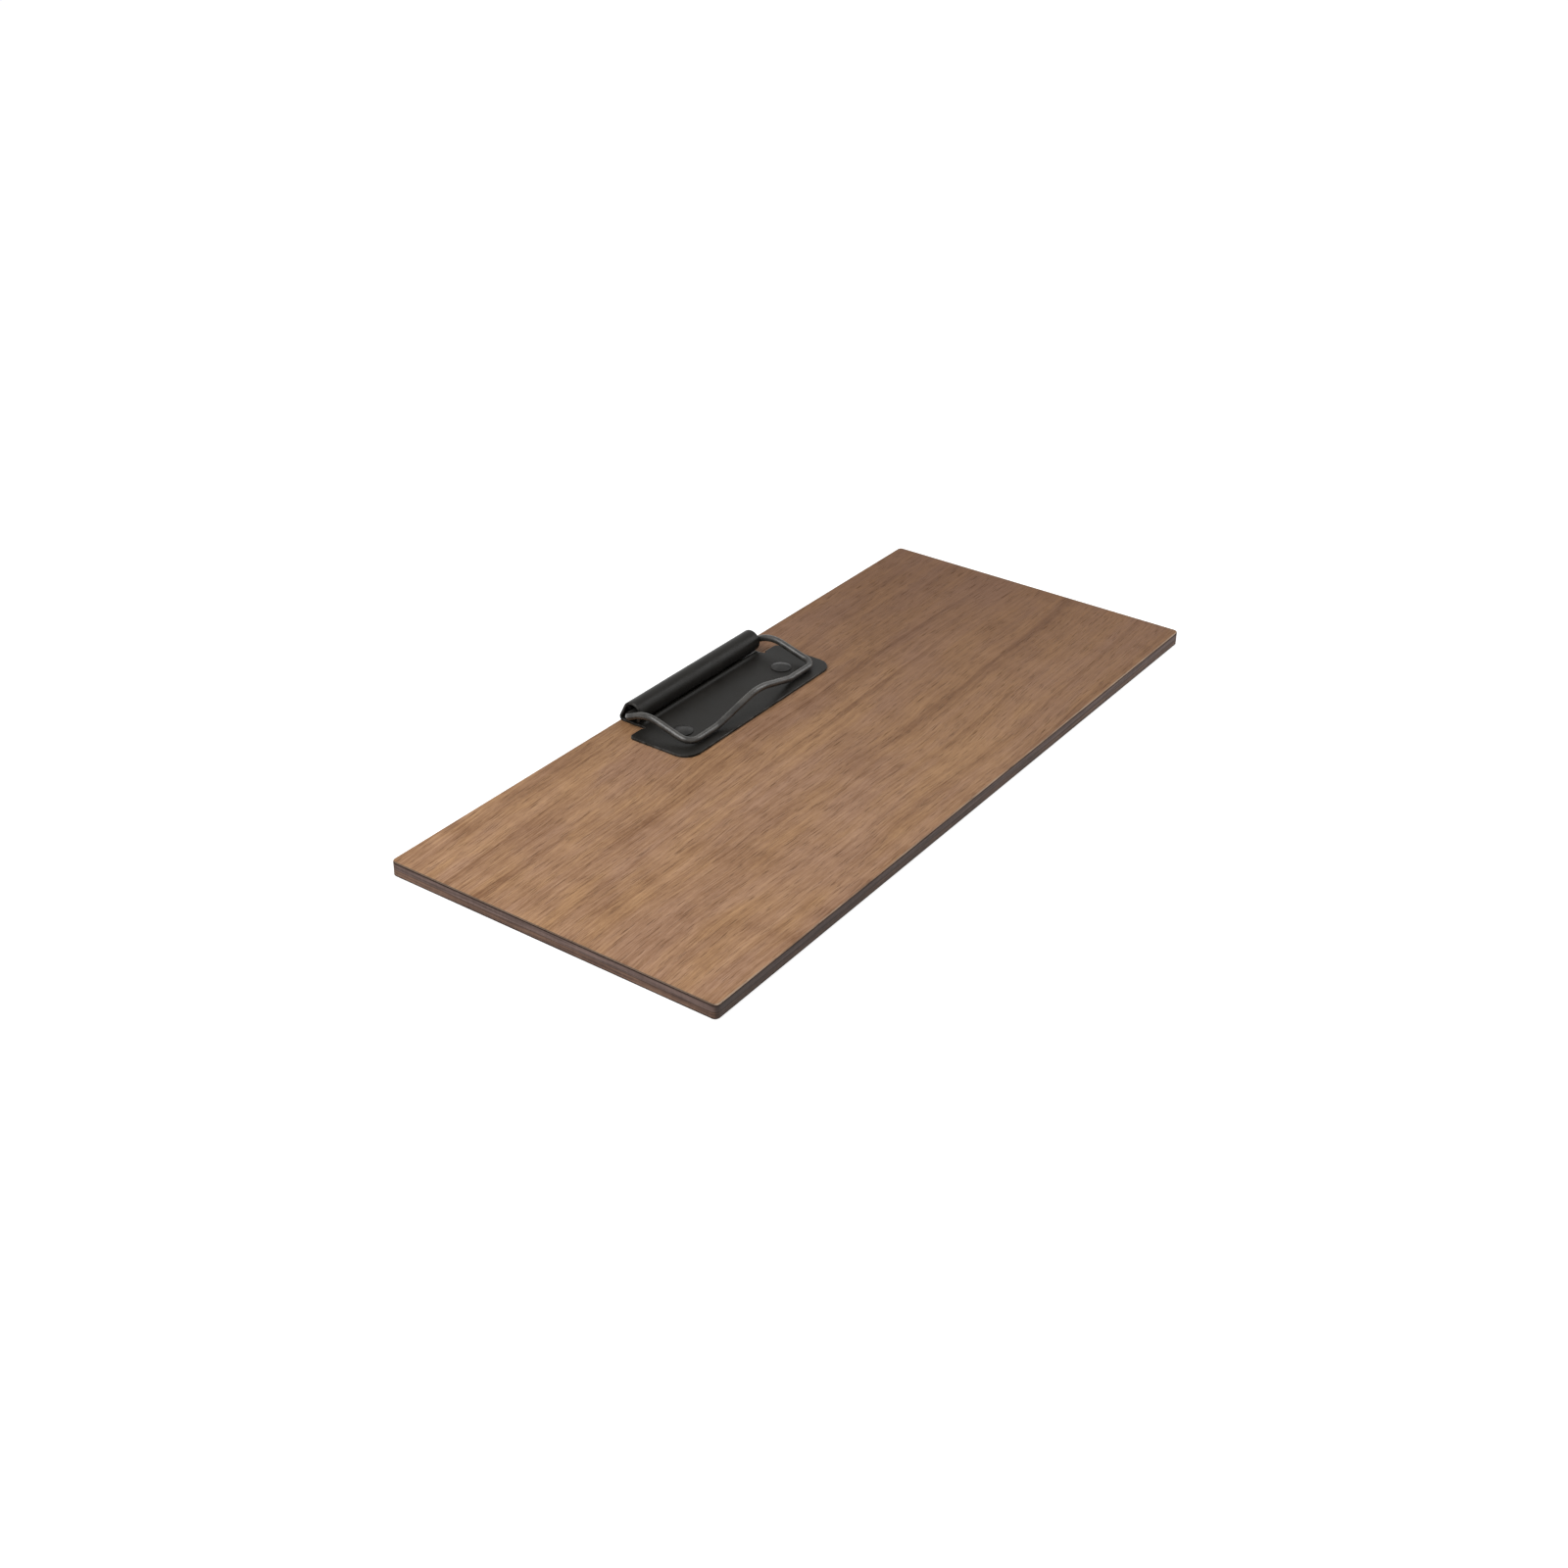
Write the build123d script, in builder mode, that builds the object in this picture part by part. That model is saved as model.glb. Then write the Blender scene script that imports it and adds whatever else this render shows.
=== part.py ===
from build123d import *
from math import asin, ceil, cos, degrees, pi, radians, sin, sqrt, tan
import os

# Guest check presenter: a thin laminated walnut board with a sprung wire clip
# riveted at the middle of one long edge. Sizes are in millimetres.
# The origin is the centre of the board's underside. +X runs along the board,
# +Y points to the edge that carries the clip, and +Z is up. The clip is shut.

# Board
board_length = 240.0
board_width = 102.0
board_corner_radius = 1.5
face_veneer_thickness = 0.5
upper_ply_thickness = 1.7
lower_ply_thickness = 1.7
back_veneer_thickness = 0.5
arris_chamfer = 0.25

# Clip plate, one pressed steel sheet
sheet_thickness = 0.8
barrel_length = 57.2
barrel_height = 7.0
barrel_edge_inset = 0.1
bend_outer_radius = 1.3
wall_lean_angle = 65.0
roll_outer_radius = 3.25
lip_gap = 0.4
ear_setback = 4.3
ear_reach = 6.9
ear_corner_radius = 1.5
flange_depth = 21.0
front_corner_radius = 5.0
root_relief_radius = 0.65
bead_half_width = 0.8
bead_height = 0.45
bead_setback = 3.4
bead_end_inset = 0.6

# Wire bail
wire_diameter = 2.0
leg_side_gap = 0.55
elbow_radius = 2.2
leg_rise_angle = 25.0
leg_crest_reach = 7.3
leg_crest_radius = 11.0
leg_heel_reach = 18.6
leg_heel_rise = 0.8
leg_heel_radius = 8.0
bail_reach = 22.8
bail_rest_gap = 0.3
front_corner_bend = 3.4
hump_half_width = 17.8
hump_height = 5.0
hump_lean_angle = 12.0
hump_foot_radius = 10.0
hump_top_radius = 18.0
trunnion_overrun = 1.0

# Torsion springs, one round each trunnion
spring_wire_diameter = 0.7
spring_bore_gap = 0.1
coil_wall_gap = 0.15
spring_turns = 12
spring_pitch = 1.5
spring_mouth_inset = 4.6
anchor_gap = 0.1
anchor_recess = 0.1
hook_radius = 0.5
hook_end_inset = 0.2
slot_gap = 0.1

# Rivets and washers
rivet_spacing = 48.0
rivet_front_inset = 11.0
rivet_shank_diameter = 3.0
rivet_hole_gap = 0.1
rivet_head_diameter = 6.0
rivet_head_height = 0.9
rivet_head_rim = 0.25
rivet_tail_diameter = 5.0
rivet_tail_height = 0.7
rivet_tail_rounding = 0.3
rivet_bore_diameter = 1.6
rivet_bore_depth = 1.8
tail_recess = 0.2
washer_diameter = 7.0
washer_thickness = 0.6
washer_side_gap = 0.4

# Heights of the layers, from the underside up
lower_ply_bottom = back_veneer_thickness
upper_ply_bottom = lower_ply_bottom + lower_ply_thickness
face_veneer_bottom = upper_ply_bottom + upper_ply_thickness
board_top = face_veneer_bottom + face_veneer_thickness
plate_top = board_top + sheet_thickness

# The barrel: a tight rear bend, a flat wall that leans forward, and the roll
barrel_end_x = barrel_length / 2
bend_inner_radius = bend_outer_radius - sheet_thickness
roll_inner_radius = roll_outer_radius - sheet_thickness
bend_y = board_width / 2 - barrel_edge_inset - bend_outer_radius
bend_z = board_top + bend_outer_radius
roll_z = board_top + barrel_height - roll_outer_radius
wall_sin = sin(radians(wall_lean_angle))
wall_cos = cos(radians(wall_lean_angle))
roll_forward = (roll_outer_radius - bend_outer_radius + wall_cos * (roll_z - bend_z)) / wall_sin
roll_y = bend_y - roll_forward

# The flange in front of the barrel
flange_width = barrel_length + 2 * ear_reach
ear_rear_y = roll_y - ear_setback
flange_front_y = ear_rear_y - flange_depth

# Rivets, and the counterbores that hide their tails
rivet_y = flange_front_y + rivet_front_inset
rivet_points = [(-rivet_spacing / 2, rivet_y), (rivet_spacing / 2, rivet_y)]
rivet_hole_radius = rivet_shank_diameter / 2 + rivet_hole_gap
counterbore_radius = washer_diameter / 2 + washer_side_gap
counterbore_depth = tail_recess + rivet_tail_height + washer_thickness
tail_top = counterbore_depth - washer_thickness

# Springs: each coil starts at its lowest point, near the barrel's mouth
trunnion_radius = wire_diameter / 2
spring_wire_radius = spring_wire_diameter / 2
coil_radius = trunnion_radius + spring_bore_gap + spring_wire_radius
coil_room = coil_radius + spring_wire_radius + coil_wall_gap
coil_start_x = barrel_end_x - spring_mouth_inset
anchor_hole_radius = spring_wire_radius + anchor_gap

# The bail's hinge axis: the coils clear the flange and the leaning wall alike
axis_z = plate_top + coil_room
axis_forward = (coil_room - bend_inner_radius + wall_cos * (axis_z - bend_z)) / wall_sin
axis_y = bend_y - axis_forward

# The hook that ends a coil turns in until it points straight at the axis
hook_centre_radius = coil_radius - hook_radius
hook_angle = asin(hook_radius / hook_centre_radius)
coil_sweep = 2 * pi * spring_turns - hook_angle
coil_end_x = coil_start_x - spring_pitch * coil_sweep / (2 * pi)

os.makedirs("parts", exist_ok=True)


def layer_outline(bottom, hole_radius):
    """Outline of one board layer at its own height, pierced for the rivets."""
    with BuildSketch(Plane.XY.offset(bottom)) as outline:
        RectangleRounded(board_length, board_width, board_corner_radius)
        with Locations(*rivet_points):
            Circle(hole_radius, mode=Mode.SUBTRACT)
    return outline.sketch


# Walnut face veneer: its top arris is eased all round.
face_outline = layer_outline(face_veneer_bottom, rivet_hole_radius)
with BuildPart() as walnut_face_veneer:
    extrude(face_outline, amount=face_veneer_thickness)
    chamfer(faces().sort_by(Axis.Z)[-1].outer_wire().edges(), arris_chamfer)
walnut_face_veneer.part.label = "walnut_face_veneer"
export_step(walnut_face_veneer.part, "parts/walnut_face_veneer.step")

# Upper core ply.
upper_outline = layer_outline(upper_ply_bottom, rivet_hole_radius)
with BuildPart() as upper_core_ply:
    extrude(upper_outline, amount=upper_ply_thickness)
upper_core_ply.part.label = "upper_core_ply"
export_step(upper_core_ply.part, "parts/upper_core_ply.step")

# Lower core ply: counterbored from below for the washers and the rivets' tails.
lower_outline = layer_outline(lower_ply_bottom, rivet_hole_radius)
with BuildPart() as lower_core_ply:
    extrude(lower_outline, amount=lower_ply_thickness)
    with BuildSketch(Plane.XY.offset(counterbore_depth)):
        with Locations(*rivet_points):
            Circle(counterbore_radius)
    extrude(amount=-counterbore_depth, mode=Mode.SUBTRACT)
lower_core_ply.part.label = "lower_core_ply"
export_step(lower_core_ply.part, "parts/lower_core_ply.step")

# Walnut back veneer: its bottom arris is eased all round.
back_outline = layer_outline(0, counterbore_radius)
with BuildPart() as walnut_back_veneer:
    extrude(back_outline, amount=back_veneer_thickness)
    chamfer(faces().sort_by(Axis.Z)[0].outer_wire().edges(), arris_chamfer)
walnut_back_veneer.part.label = "walnut_back_veneer"
export_step(walnut_back_veneer.part, "parts/walnut_back_veneer.step")


# The bead is part of a round bar with ball ends, sunk so far into the sheet
# that only its crown stands up.
bead_bar_radius = (bead_half_width**2 + bead_height**2) / (2 * bead_height)
bead_straight = barrel_length - 2 * (bead_end_inset + bead_half_width)
bead_y = roll_y - bead_setback


def bead_crown(surface):
    """The crown of the bead's bar, standing on one surface of the sheet."""
    bar_centre = Plane((0, bead_y, surface + bead_height - bead_bar_radius))
    with BuildPart(bar_centre) as crown:
        Cylinder(bead_bar_radius, bead_straight, rotation=(0, 90, 0))
        with Locations((-bead_straight / 2, 0), (bead_straight / 2, 0)):
            Sphere(bead_bar_radius)
        split(bisect_by=Plane.XY.offset(surface), keep=Keep.TOP)
    return crown.part


# The bend turns up from the flange to the wall. The roll carries on from there,
# and its free lip stops a gap above the flange.
wall_facing = 90 - wall_lean_angle
bend_angle = 90 + wall_facing
lip_drop = roll_z - plate_top - lip_gap
roll_angle = 180 - wall_facing + degrees(asin(lip_drop / roll_outer_radius))
roll_plane = Plane(origin=(-barrel_end_x, 0, 0), x_dir=(0, 1, 0), z_dir=(1, 0, 0))
anchor_plane = Plane.XZ.offset(-bend_y)
anchor_z = axis_z - coil_radius
bead_above = bead_crown(plate_top)
bead_below = bead_crown(board_top)

# Clip plate: the flange lies on the board. Its rear edge is bent up into a wall
# that leans forward, and rolled over and down to close the barrel. Two ears
# stand out past the barrel's ends, with a round relief at each root. A bead
# stiffens the foot of the barrel, and two holes in the bend anchor the springs.
with BuildPart() as clip_plate:
    with BuildSketch(Plane.XY.offset(board_top)) as flange:
        with Locations((0, flange_front_y + flange_depth / 2)):
            Rectangle(flange_width, flange_depth)
        fillet(flange.vertices().group_by(Axis.Y)[0], front_corner_radius)
        fillet(flange.vertices().group_by(Axis.Y)[-1], ear_corner_radius)
        with Locations((0, flange_front_y + (bend_y - flange_front_y) / 2)):
            Rectangle(barrel_length, bend_y - flange_front_y)
        relief_x = barrel_end_x + root_relief_radius
        with Locations((-relief_x, ear_rear_y), (relief_x, ear_rear_y)):
            Circle(root_relief_radius, mode=Mode.SUBTRACT)
        with Locations(*rivet_points):
            Circle(rivet_hole_radius, mode=Mode.SUBTRACT)
    extrude(amount=sheet_thickness)

    with BuildSketch(roll_plane):
        with BuildLine():
            outer_bend = CenterArc((bend_y, bend_z), bend_outer_radius, -90, bend_angle)
            outer_roll = CenterArc((roll_y, roll_z), roll_outer_radius, wall_facing, roll_angle)
            inner_bend = CenterArc((bend_y, bend_z), bend_inner_radius, -90, bend_angle)
            inner_roll = CenterArc((roll_y, roll_z), roll_inner_radius, wall_facing, roll_angle)
            Line(outer_bend @ 1, outer_roll @ 0)
            Line(inner_bend @ 1, inner_roll @ 0)
            Line(outer_bend @ 0, inner_bend @ 0)
            Line(outer_roll @ 1, inner_roll @ 1)
        make_face()
    extrude(amount=barrel_length)

    add(bead_above)
    add(bead_below, mode=Mode.SUBTRACT)

    with BuildSketch(anchor_plane):
        with Locations((-coil_start_x, anchor_z), (coil_start_x, anchor_z)):
            Circle(anchor_hole_radius)
    extrude(amount=-2 * bend_outer_radius, mode=Mode.SUBTRACT)
clip_plate.part.label = "clip_plate"
export_step(clip_plate.part, "parts/clip_plate.step")


# Wire bail: one bent wire. From the left trunnion it turns forward into an
# arched leg, runs along the front over the finger hump, and comes back the
# same way. Its corners are listed from the hump's foot round to the trunnion.
leg_x = barrel_end_x + leg_side_gap + trunnion_radius
front_y = axis_y - bail_reach
front_z = plate_top + bail_rest_gap + trunnion_radius
crest_z = axis_z + leg_crest_reach * tan(radians(leg_rise_angle))
hump_y = front_y - hump_height * sin(radians(hump_lean_angle))
hump_z = front_z + hump_height * cos(radians(hump_lean_angle))
trunnion_end_x = coil_end_x - spring_wire_radius - trunnion_overrun
slot_end_x = coil_end_x + spring_wire_radius + slot_gap
slot_length = slot_end_x - trunnion_end_x
slot_width = spring_wire_diameter + 2 * slot_gap
slot_middle_x = trunnion_end_x + slot_length / 2
right_corners = [
    (hump_half_width, front_y, front_z),
    (leg_x, front_y, front_z),
    (leg_x, axis_y - leg_heel_reach, front_z + leg_heel_rise),
    (leg_x, axis_y - leg_crest_reach, crest_z),
    (leg_x, axis_y, axis_z),
    (trunnion_end_x, axis_y, axis_z),
]
left_corners = [(-x, y, z) for x, y, z in reversed(right_corners)]
right_bends = [hump_foot_radius, front_corner_bend, leg_heel_radius, leg_crest_radius, elbow_radius]
bends = [*reversed(right_bends), hump_top_radius, *right_bends]

with BuildPart() as wire_bail:
    with BuildLine() as bail_route:
        FilletPolyline(*left_corners, (0, hump_y, hump_z), *right_corners, radius=bends)
    with BuildSketch(Plane(origin=bail_route.line @ 0, z_dir=bail_route.line % 0)):
        Circle(trunnion_radius)
    sweep(path=bail_route.line)
    # A slot right through each trunnion's inner end takes the spring's hook.
    with Locations((-slot_middle_x, axis_y, axis_z), (slot_middle_x, axis_y, axis_z)):
        Box(slot_length, slot_width, 2 * wire_diameter, mode=Mode.SUBTRACT)
wire_bail.part.label = "wire_bail"
export_step(wire_bail.part, "parts/wire_bail.step")


def coil_point(swept):
    """Point on the right coil's centreline, once it has wound through an angle."""
    x = coil_start_x - spring_pitch * swept / (2 * pi)
    return Vector(x, axis_y - coil_radius * sin(swept), axis_z - coil_radius * cos(swept))


def coil_direction(swept, lead):
    """Direction of the coil's wire there, with its advance along the barrel."""
    return Vector(-lead, -coil_radius * cos(swept), coil_radius * sin(swept)).normalized()


def tangent_arcs(start, leaving, end, arriving):
    """Two arcs from start to end that keep to the given directions there."""
    chord = end - start
    both = leaving + arriving
    spread = 4 - both.dot(both)
    along = chord.dot(both)
    reach = (sqrt(along**2 + spread * chord.dot(chord)) - along) / spread
    first_handle = start + leaving * reach
    last_handle = end - arriving * reach
    middle = (first_handle + last_handle) * 0.5
    TangentArc(start, middle, tangent=leaving)
    TangentArc(middle, end, tangent=last_handle - first_handle)


# Right torsion spring: a straight tang comes in through the barrel's rear bend
# under the axis, the coil winds round the trunnion, and its hook crosses the
# slot. The coil's ends lie square to the barrel, so its lead starts and stops.
coil_steps = ceil(coil_sweep / (pi / 2))
coil_lead = spring_pitch / (2 * pi)
bend_reach = sqrt(bend_outer_radius**2 - (anchor_z - bend_z) ** 2)
tang_reach = bend_y + bend_reach - anchor_recess - axis_y
coil_start = coil_point(0)
coil_end = coil_point(coil_sweep)
hook_foot = Vector(coil_end.X, axis_y, axis_z - hook_centre_radius * cos(hook_angle))
hook_end = Vector(coil_end.X, axis_y, axis_z + trunnion_radius - hook_end_inset)

with BuildPart() as right_torsion_spring:
    with BuildLine() as spring_route:
        Line(coil_start + Vector(0, tang_reach, 0), coil_start)
        for step in range(coil_steps):
            begin = coil_sweep * step / coil_steps
            finish = coil_sweep * (step + 1) / coil_steps
            leaving = coil_direction(begin, coil_lead if step > 0 else 0)
            arriving = coil_direction(finish, coil_lead if step < coil_steps - 1 else 0)
            tangent_arcs(coil_point(begin), leaving, coil_point(finish), arriving)
        TangentArc(coil_end, hook_foot, tangent=coil_direction(coil_sweep, 0))
        Line(hook_foot, hook_end)
    with BuildSketch(Plane(origin=spring_route.line @ 0, z_dir=spring_route.line % 0)):
        Circle(spring_wire_radius)
    sweep(path=spring_route.line)
right_torsion_spring.part.label = "right_torsion_spring"
export_step(right_torsion_spring.part, "parts/right_torsion_spring.step")

# Left torsion spring: the right one's mirror image.
with BuildPart() as left_torsion_spring:
    mirror(right_torsion_spring.part, about=Plane.YZ)
left_torsion_spring.part.label = "left_torsion_spring"
export_step(left_torsion_spring.part, "parts/left_torsion_spring.step")


# One semi-tubular rivet on the vertical axis: a low domed head on the clip
# plate, a shank through the board, and a tail spread under the washer.
head_radius = rivet_head_diameter / 2
shank_radius = rivet_shank_diameter / 2
tail_radius = rivet_tail_diameter / 2
bore_radius = rivet_bore_diameter / 2
bore_top = tail_recess + rivet_bore_depth
head_top = plate_top + rivet_head_height

with BuildPart() as rivet:
    with BuildSketch(Plane.XZ):
        with BuildLine():
            dome = TangentArc((0, head_top), (head_radius, plate_top + rivet_head_rim), tangent=(1, 0))
            Polyline(
                dome @ 1,
                (head_radius, plate_top),
                (shank_radius, plate_top),
                (shank_radius, tail_top),
                (tail_radius, tail_top),
                (tail_radius, tail_recess),
                (bore_radius, tail_recess),
                (bore_radius, bore_top),
                (0, bore_top),
                (0, head_top),
            )
        make_face()
    revolve(axis=Axis.Z)
    fillet(edges().filter_by(GeomType.CIRCLE).group_by(Axis.Z)[0], rivet_tail_rounding)

# Rivets: two of them, side by side through the flange.
with BuildPart() as rivets:
    with Locations(*rivet_points):
        add(rivet.part)
rivets.part.label = "rivets"
export_step(rivets.part, "parts/rivets.step")

# Washers: each sits against the roof of its counterbore, over the rivet's tail.
with BuildPart() as rivet_washers:
    with BuildSketch(Plane.XY.offset(tail_top)):
        with Locations(*rivet_points):
            Circle(washer_diameter / 2)
            Circle(rivet_hole_radius, mode=Mode.SUBTRACT)
    extrude(amount=washer_thickness)
rivet_washers.part.label = "rivet_washers"
export_step(rivet_washers.part, "parts/rivet_washers.step")
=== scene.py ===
import math

import bpy
import numpy as np
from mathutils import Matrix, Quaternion, Vector


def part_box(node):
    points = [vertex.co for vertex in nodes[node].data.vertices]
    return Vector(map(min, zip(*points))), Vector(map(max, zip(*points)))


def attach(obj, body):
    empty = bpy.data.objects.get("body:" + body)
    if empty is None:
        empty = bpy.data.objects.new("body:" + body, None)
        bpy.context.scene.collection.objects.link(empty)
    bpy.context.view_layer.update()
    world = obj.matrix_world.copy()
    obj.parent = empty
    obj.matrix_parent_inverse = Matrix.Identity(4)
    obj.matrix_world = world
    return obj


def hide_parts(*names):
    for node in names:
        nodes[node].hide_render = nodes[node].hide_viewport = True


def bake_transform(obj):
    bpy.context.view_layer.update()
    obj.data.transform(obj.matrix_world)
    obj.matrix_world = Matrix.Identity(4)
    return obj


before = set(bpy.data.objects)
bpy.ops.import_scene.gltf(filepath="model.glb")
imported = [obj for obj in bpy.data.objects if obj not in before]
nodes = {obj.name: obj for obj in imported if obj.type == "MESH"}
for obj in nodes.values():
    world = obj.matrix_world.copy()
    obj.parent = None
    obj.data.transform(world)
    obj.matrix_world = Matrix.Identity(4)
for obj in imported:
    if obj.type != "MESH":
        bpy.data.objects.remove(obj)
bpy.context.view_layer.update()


# Board core: two thin plies glued face to face and stained dark right through,
# then sawn to the board's outline. Their edges show all round under the face
# veneer: streaky fibres, fine saw lines and a darker glue line on top of each.
board_half_length = 0.12
glue_colour = (0.03, 0.014, 0.01, 1)
# The next colour is painted shade, laid on the plies' long sides.
painted_shade_colour = (0.02, 0.014, 0.012, 1)


def add_node(tree, kind, inputs=None, **settings):
    """Adds one shader node, sets its settings, and links or fills its inputs."""
    node = tree.nodes.new(kind)
    for name, value in settings.items():
        setattr(node, name, value)
    for name, value in (inputs or {}).items():
        if isinstance(value, bpy.types.NodeSocket):
            tree.links.new(value, node.inputs[name])
        else:
            node.inputs[name].default_value = value
    return node


def noise(tree, place, per_metre, detail=3.0, roughness=0.55):
    """Noise with a number of spots per metre along X, Y and Z, so that it can be stretched."""
    mapping = add_node(tree, "ShaderNodeMapping", {"Vector": place, "Scale": per_metre})
    settings = {"Vector": mapping.outputs["Vector"], "Scale": 1.0, "Detail": detail, "Roughness": roughness}
    return add_node(tree, "ShaderNodeTexNoise", settings).outputs["Fac"]


def remap(tree, value, low, high, to_low=0.0, to_high=1.0):
    """Takes low to high of a value to to_low to to_high, and stops at both ends."""
    settings = {"Value": value, "From Min": low, "From Max": high, "To Min": to_low, "To Max": to_high}
    return add_node(tree, "ShaderNodeMapRange", settings).outputs["Result"]


def calc(tree, operation, *values):
    """One sum on up to three values."""
    return add_node(tree, "ShaderNodeMath", dict(enumerate(values)), operation=operation).outputs[0]


def sum_of(tree, *terms):
    """Adds up values, each given with its share."""
    total = 0.0
    for value, share in terms:
        total = calc(tree, "MULTIPLY_ADD", value, share, total)
    return total


def split(tree, vector):
    """The X, Y and Z of a vector."""
    return add_node(tree, "ShaderNodeSeparateXYZ", {"Vector": vector}).outputs


def mix(tree, share, first, second, blend_type="MIX"):
    """Mixes two colours by a share from 0, the first, to 1, the second."""
    settings = {0: share, 6: first, 7: second}
    return add_node(tree, "ShaderNodeMix", settings, data_type="RGBA", blend_type=blend_type).outputs[2]


def new_group(name, inputs, outputs):
    """Starts a node group with named sockets, and returns it with its two end nodes."""
    tree = bpy.data.node_groups.new(name, "ShaderNodeTree")
    for socket, kind in inputs.items():
        tree.interface.new_socket(socket, in_out="INPUT", socket_type="NodeSocket" + kind)
    for socket, kind in outputs.items():
        tree.interface.new_socket(socket, in_out="OUTPUT", socket_type="NodeSocket" + kind)
    return tree, tree.nodes.new("NodeGroupInput").outputs, tree.nodes.new("NodeGroupOutput").inputs


def place_group(tree, group, inputs):
    """Places a node group in a material and fills its inputs."""
    return add_node(tree, "ShaderNodeGroup", inputs, node_tree=group).outputs


def new_material(name, **shader_values):
    """A material with one Principled shader, whose constants are set on its sockets."""
    material = bpy.data.materials.new(name)
    material.use_nodes = True
    tree = material.node_tree
    shader = tree.nodes["Principled BSDF"]
    for socket, value in shader_values.items():
        shader.inputs[socket.replace("_", " ")].default_value = value
    return material, tree, shader, tree.nodes.new("ShaderNodeTexCoord").outputs


def raise_bumps(tree, shader, height, depth):
    """Bumps of a depth in metres, where the height runs from 0 to 1."""
    bump = add_node(tree, "ShaderNodeBump", {"Height": height, "Distance": depth})
    tree.links.new(bump.outputs["Normal"], shader.inputs["Normal"])


def paint(material, *node_names):
    """Puts one material on pieces that keep the mesh of their solid."""
    for name in node_names:
        slots = nodes[name].data.materials
        slots.clear()
        slots.append(material)


sawn_fibre, given, result = new_group(
    "sawn_fibre",
    {"Place": "Vector", "Light": "Color", "Dark": "Color", "Glue Height": "Float"},
    {"Color": "Color", "Height": "Float"},
)
streaks = remap(sawn_fibre, noise(sawn_fibre, given["Place"], (55, 55, 1700), 4.0, 0.6), 0.37, 0.63)
saw_lines = remap(sawn_fibre, noise(sawn_fibre, given["Place"], (800, 800, 300), 2.0, 0.5), 0.3, 0.7)
fibre_shade = sum_of(sawn_fibre, (streaks, 0.78), (saw_lines, 0.22))
fibre_colour = mix(sawn_fibre, fibre_shade, given["Dark"], given["Light"])
edge_height = split(sawn_fibre, given["Place"])["Z"]
above_glue = calc(sawn_fibre, "SUBTRACT", edge_height, given["Glue Height"])
off_glue = calc(sawn_fibre, "ABSOLUTE", above_glue)
glue_line = remap(sawn_fibre, off_glue, 0.00012, 0.0003, 0.75, 0.0)
sawn_fibre.links.new(mix(sawn_fibre, glue_line, fibre_colour, glue_colour), result["Color"])
sawn_fibre.links.new(sum_of(sawn_fibre, (fibre_shade, 0.5), (glue_line, -0.5)), result["Height"])


def make_ply_material(name, light, dark, glue_height):
    """Dark stained ply: fibres in two tones and a dull sawn edge, with painted shade on the long sides that
    is darkest at the near end.
    """
    material, tree, shader, coords = new_material(name, Roughness=0.6, Specular_IOR_Level=0.25)
    settings = {"Place": coords["Object"], "Light": light, "Dark": dark, "Glue Height": glue_height}
    fibre = place_group(tree, sawn_fibre, settings)
    # Painted shade: the long sides are painted darker, most at the near end.
    long_side = remap(tree, calc(tree, "ABSOLUTE", split(tree, coords["Normal"])["Y"]), 0.4, 0.8)
    along = split(tree, coords["Object"])["X"]
    near_end = remap(tree, along, -board_half_length, board_half_length, 0.6, 0.0)
    painted_long_side_shade = calc(tree, "MULTIPLY", long_side, near_end)
    tree.links.new(mix(tree, painted_long_side_shade, fibre["Color"], painted_shade_colour), shader.inputs["Base Color"])
    raise_bumps(tree, shader, fibre["Height"], 0.00008)
    return material


veneer_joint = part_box("upper_core_ply")[1].z
ply_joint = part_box("upper_core_ply")[0].z
upper_light = (0.19, 0.125, 0.106, 1)
upper_dark = (0.055, 0.032, 0.026, 1)
paint(make_ply_material("stained_upper_ply", upper_light, upper_dark, veneer_joint), "upper_core_ply")
lower_light = (0.2, 0.115, 0.076, 1)
lower_dark = (0.052, 0.025, 0.017, 1)
paint(make_ply_material("stained_lower_ply", lower_light, lower_dark, ply_joint), "lower_core_ply")


# Walnut veneers: half a millimetre of walnut on each face, grain along the
# board, sanded, oiled to a dull satin, with its arrises eased. The growth lines
# wander, and painted shade darkens the wood towards the far rear corner.
walnut_figure, given, result = new_group(
    "walnut_figure",
    {"Place": "Vector", "Gold": "Color", "Brown": "Color", "Shade": "Color", "Heart": "Color"},
    {"Color": "Color", "Pores": "Float", "Height": "Float"},
)
place = given["Place"]
axes = split(walnut_figure, place)
broad_wander = noise(walnut_figure, place, (7, 12, 12), 1.0)
fine_wander = noise(walnut_figure, place, (30, 60, 60), 1.0)
wander = (broad_wander, 0.013), (fine_wander, 0.002)
across = sum_of(walnut_figure, (axes["Y"], 1.0), *wander, (axes["X"], -0.025))
figure_axes = {"X": axes["X"], "Y": across, "Z": axes["Z"]}
figure_place = add_node(walnut_figure, "ShaderNodeCombineXYZ", figure_axes).outputs["Vector"]
ring_spacing = 0.0125
ring_width = noise(walnut_figure, figure_place, (2, 30, 30), 2.0)
ring_count = sum_of(walnut_figure, (across, 1 / ring_spacing), (ring_width, 2.6))
ring_phase = calc(walnut_figure, "FRACT", ring_count)
late_wood = remap(walnut_figure, ring_phase, 0.7, 0.96)
ring_edge = remap(walnut_figure, ring_phase, 0.96, 0.995, 1.0, 0.0)
ring_line = calc(walnut_figure, "MULTIPLY", late_wood, ring_edge)
ring_strength = remap(walnut_figure, noise(walnut_figure, figure_place, (7, 70, 70), 1.0), 0.45, 0.68)
rings = calc(walnut_figure, "MULTIPLY", ring_line, ring_strength)
bands = remap(walnut_figure, noise(walnut_figure, figure_place, (5, 130, 130), 3.0), 0.33, 0.67)
lines = remap(walnut_figure, noise(walnut_figure, figure_place, (18, 900, 900), 3.0), 0.34, 0.66)
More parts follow.
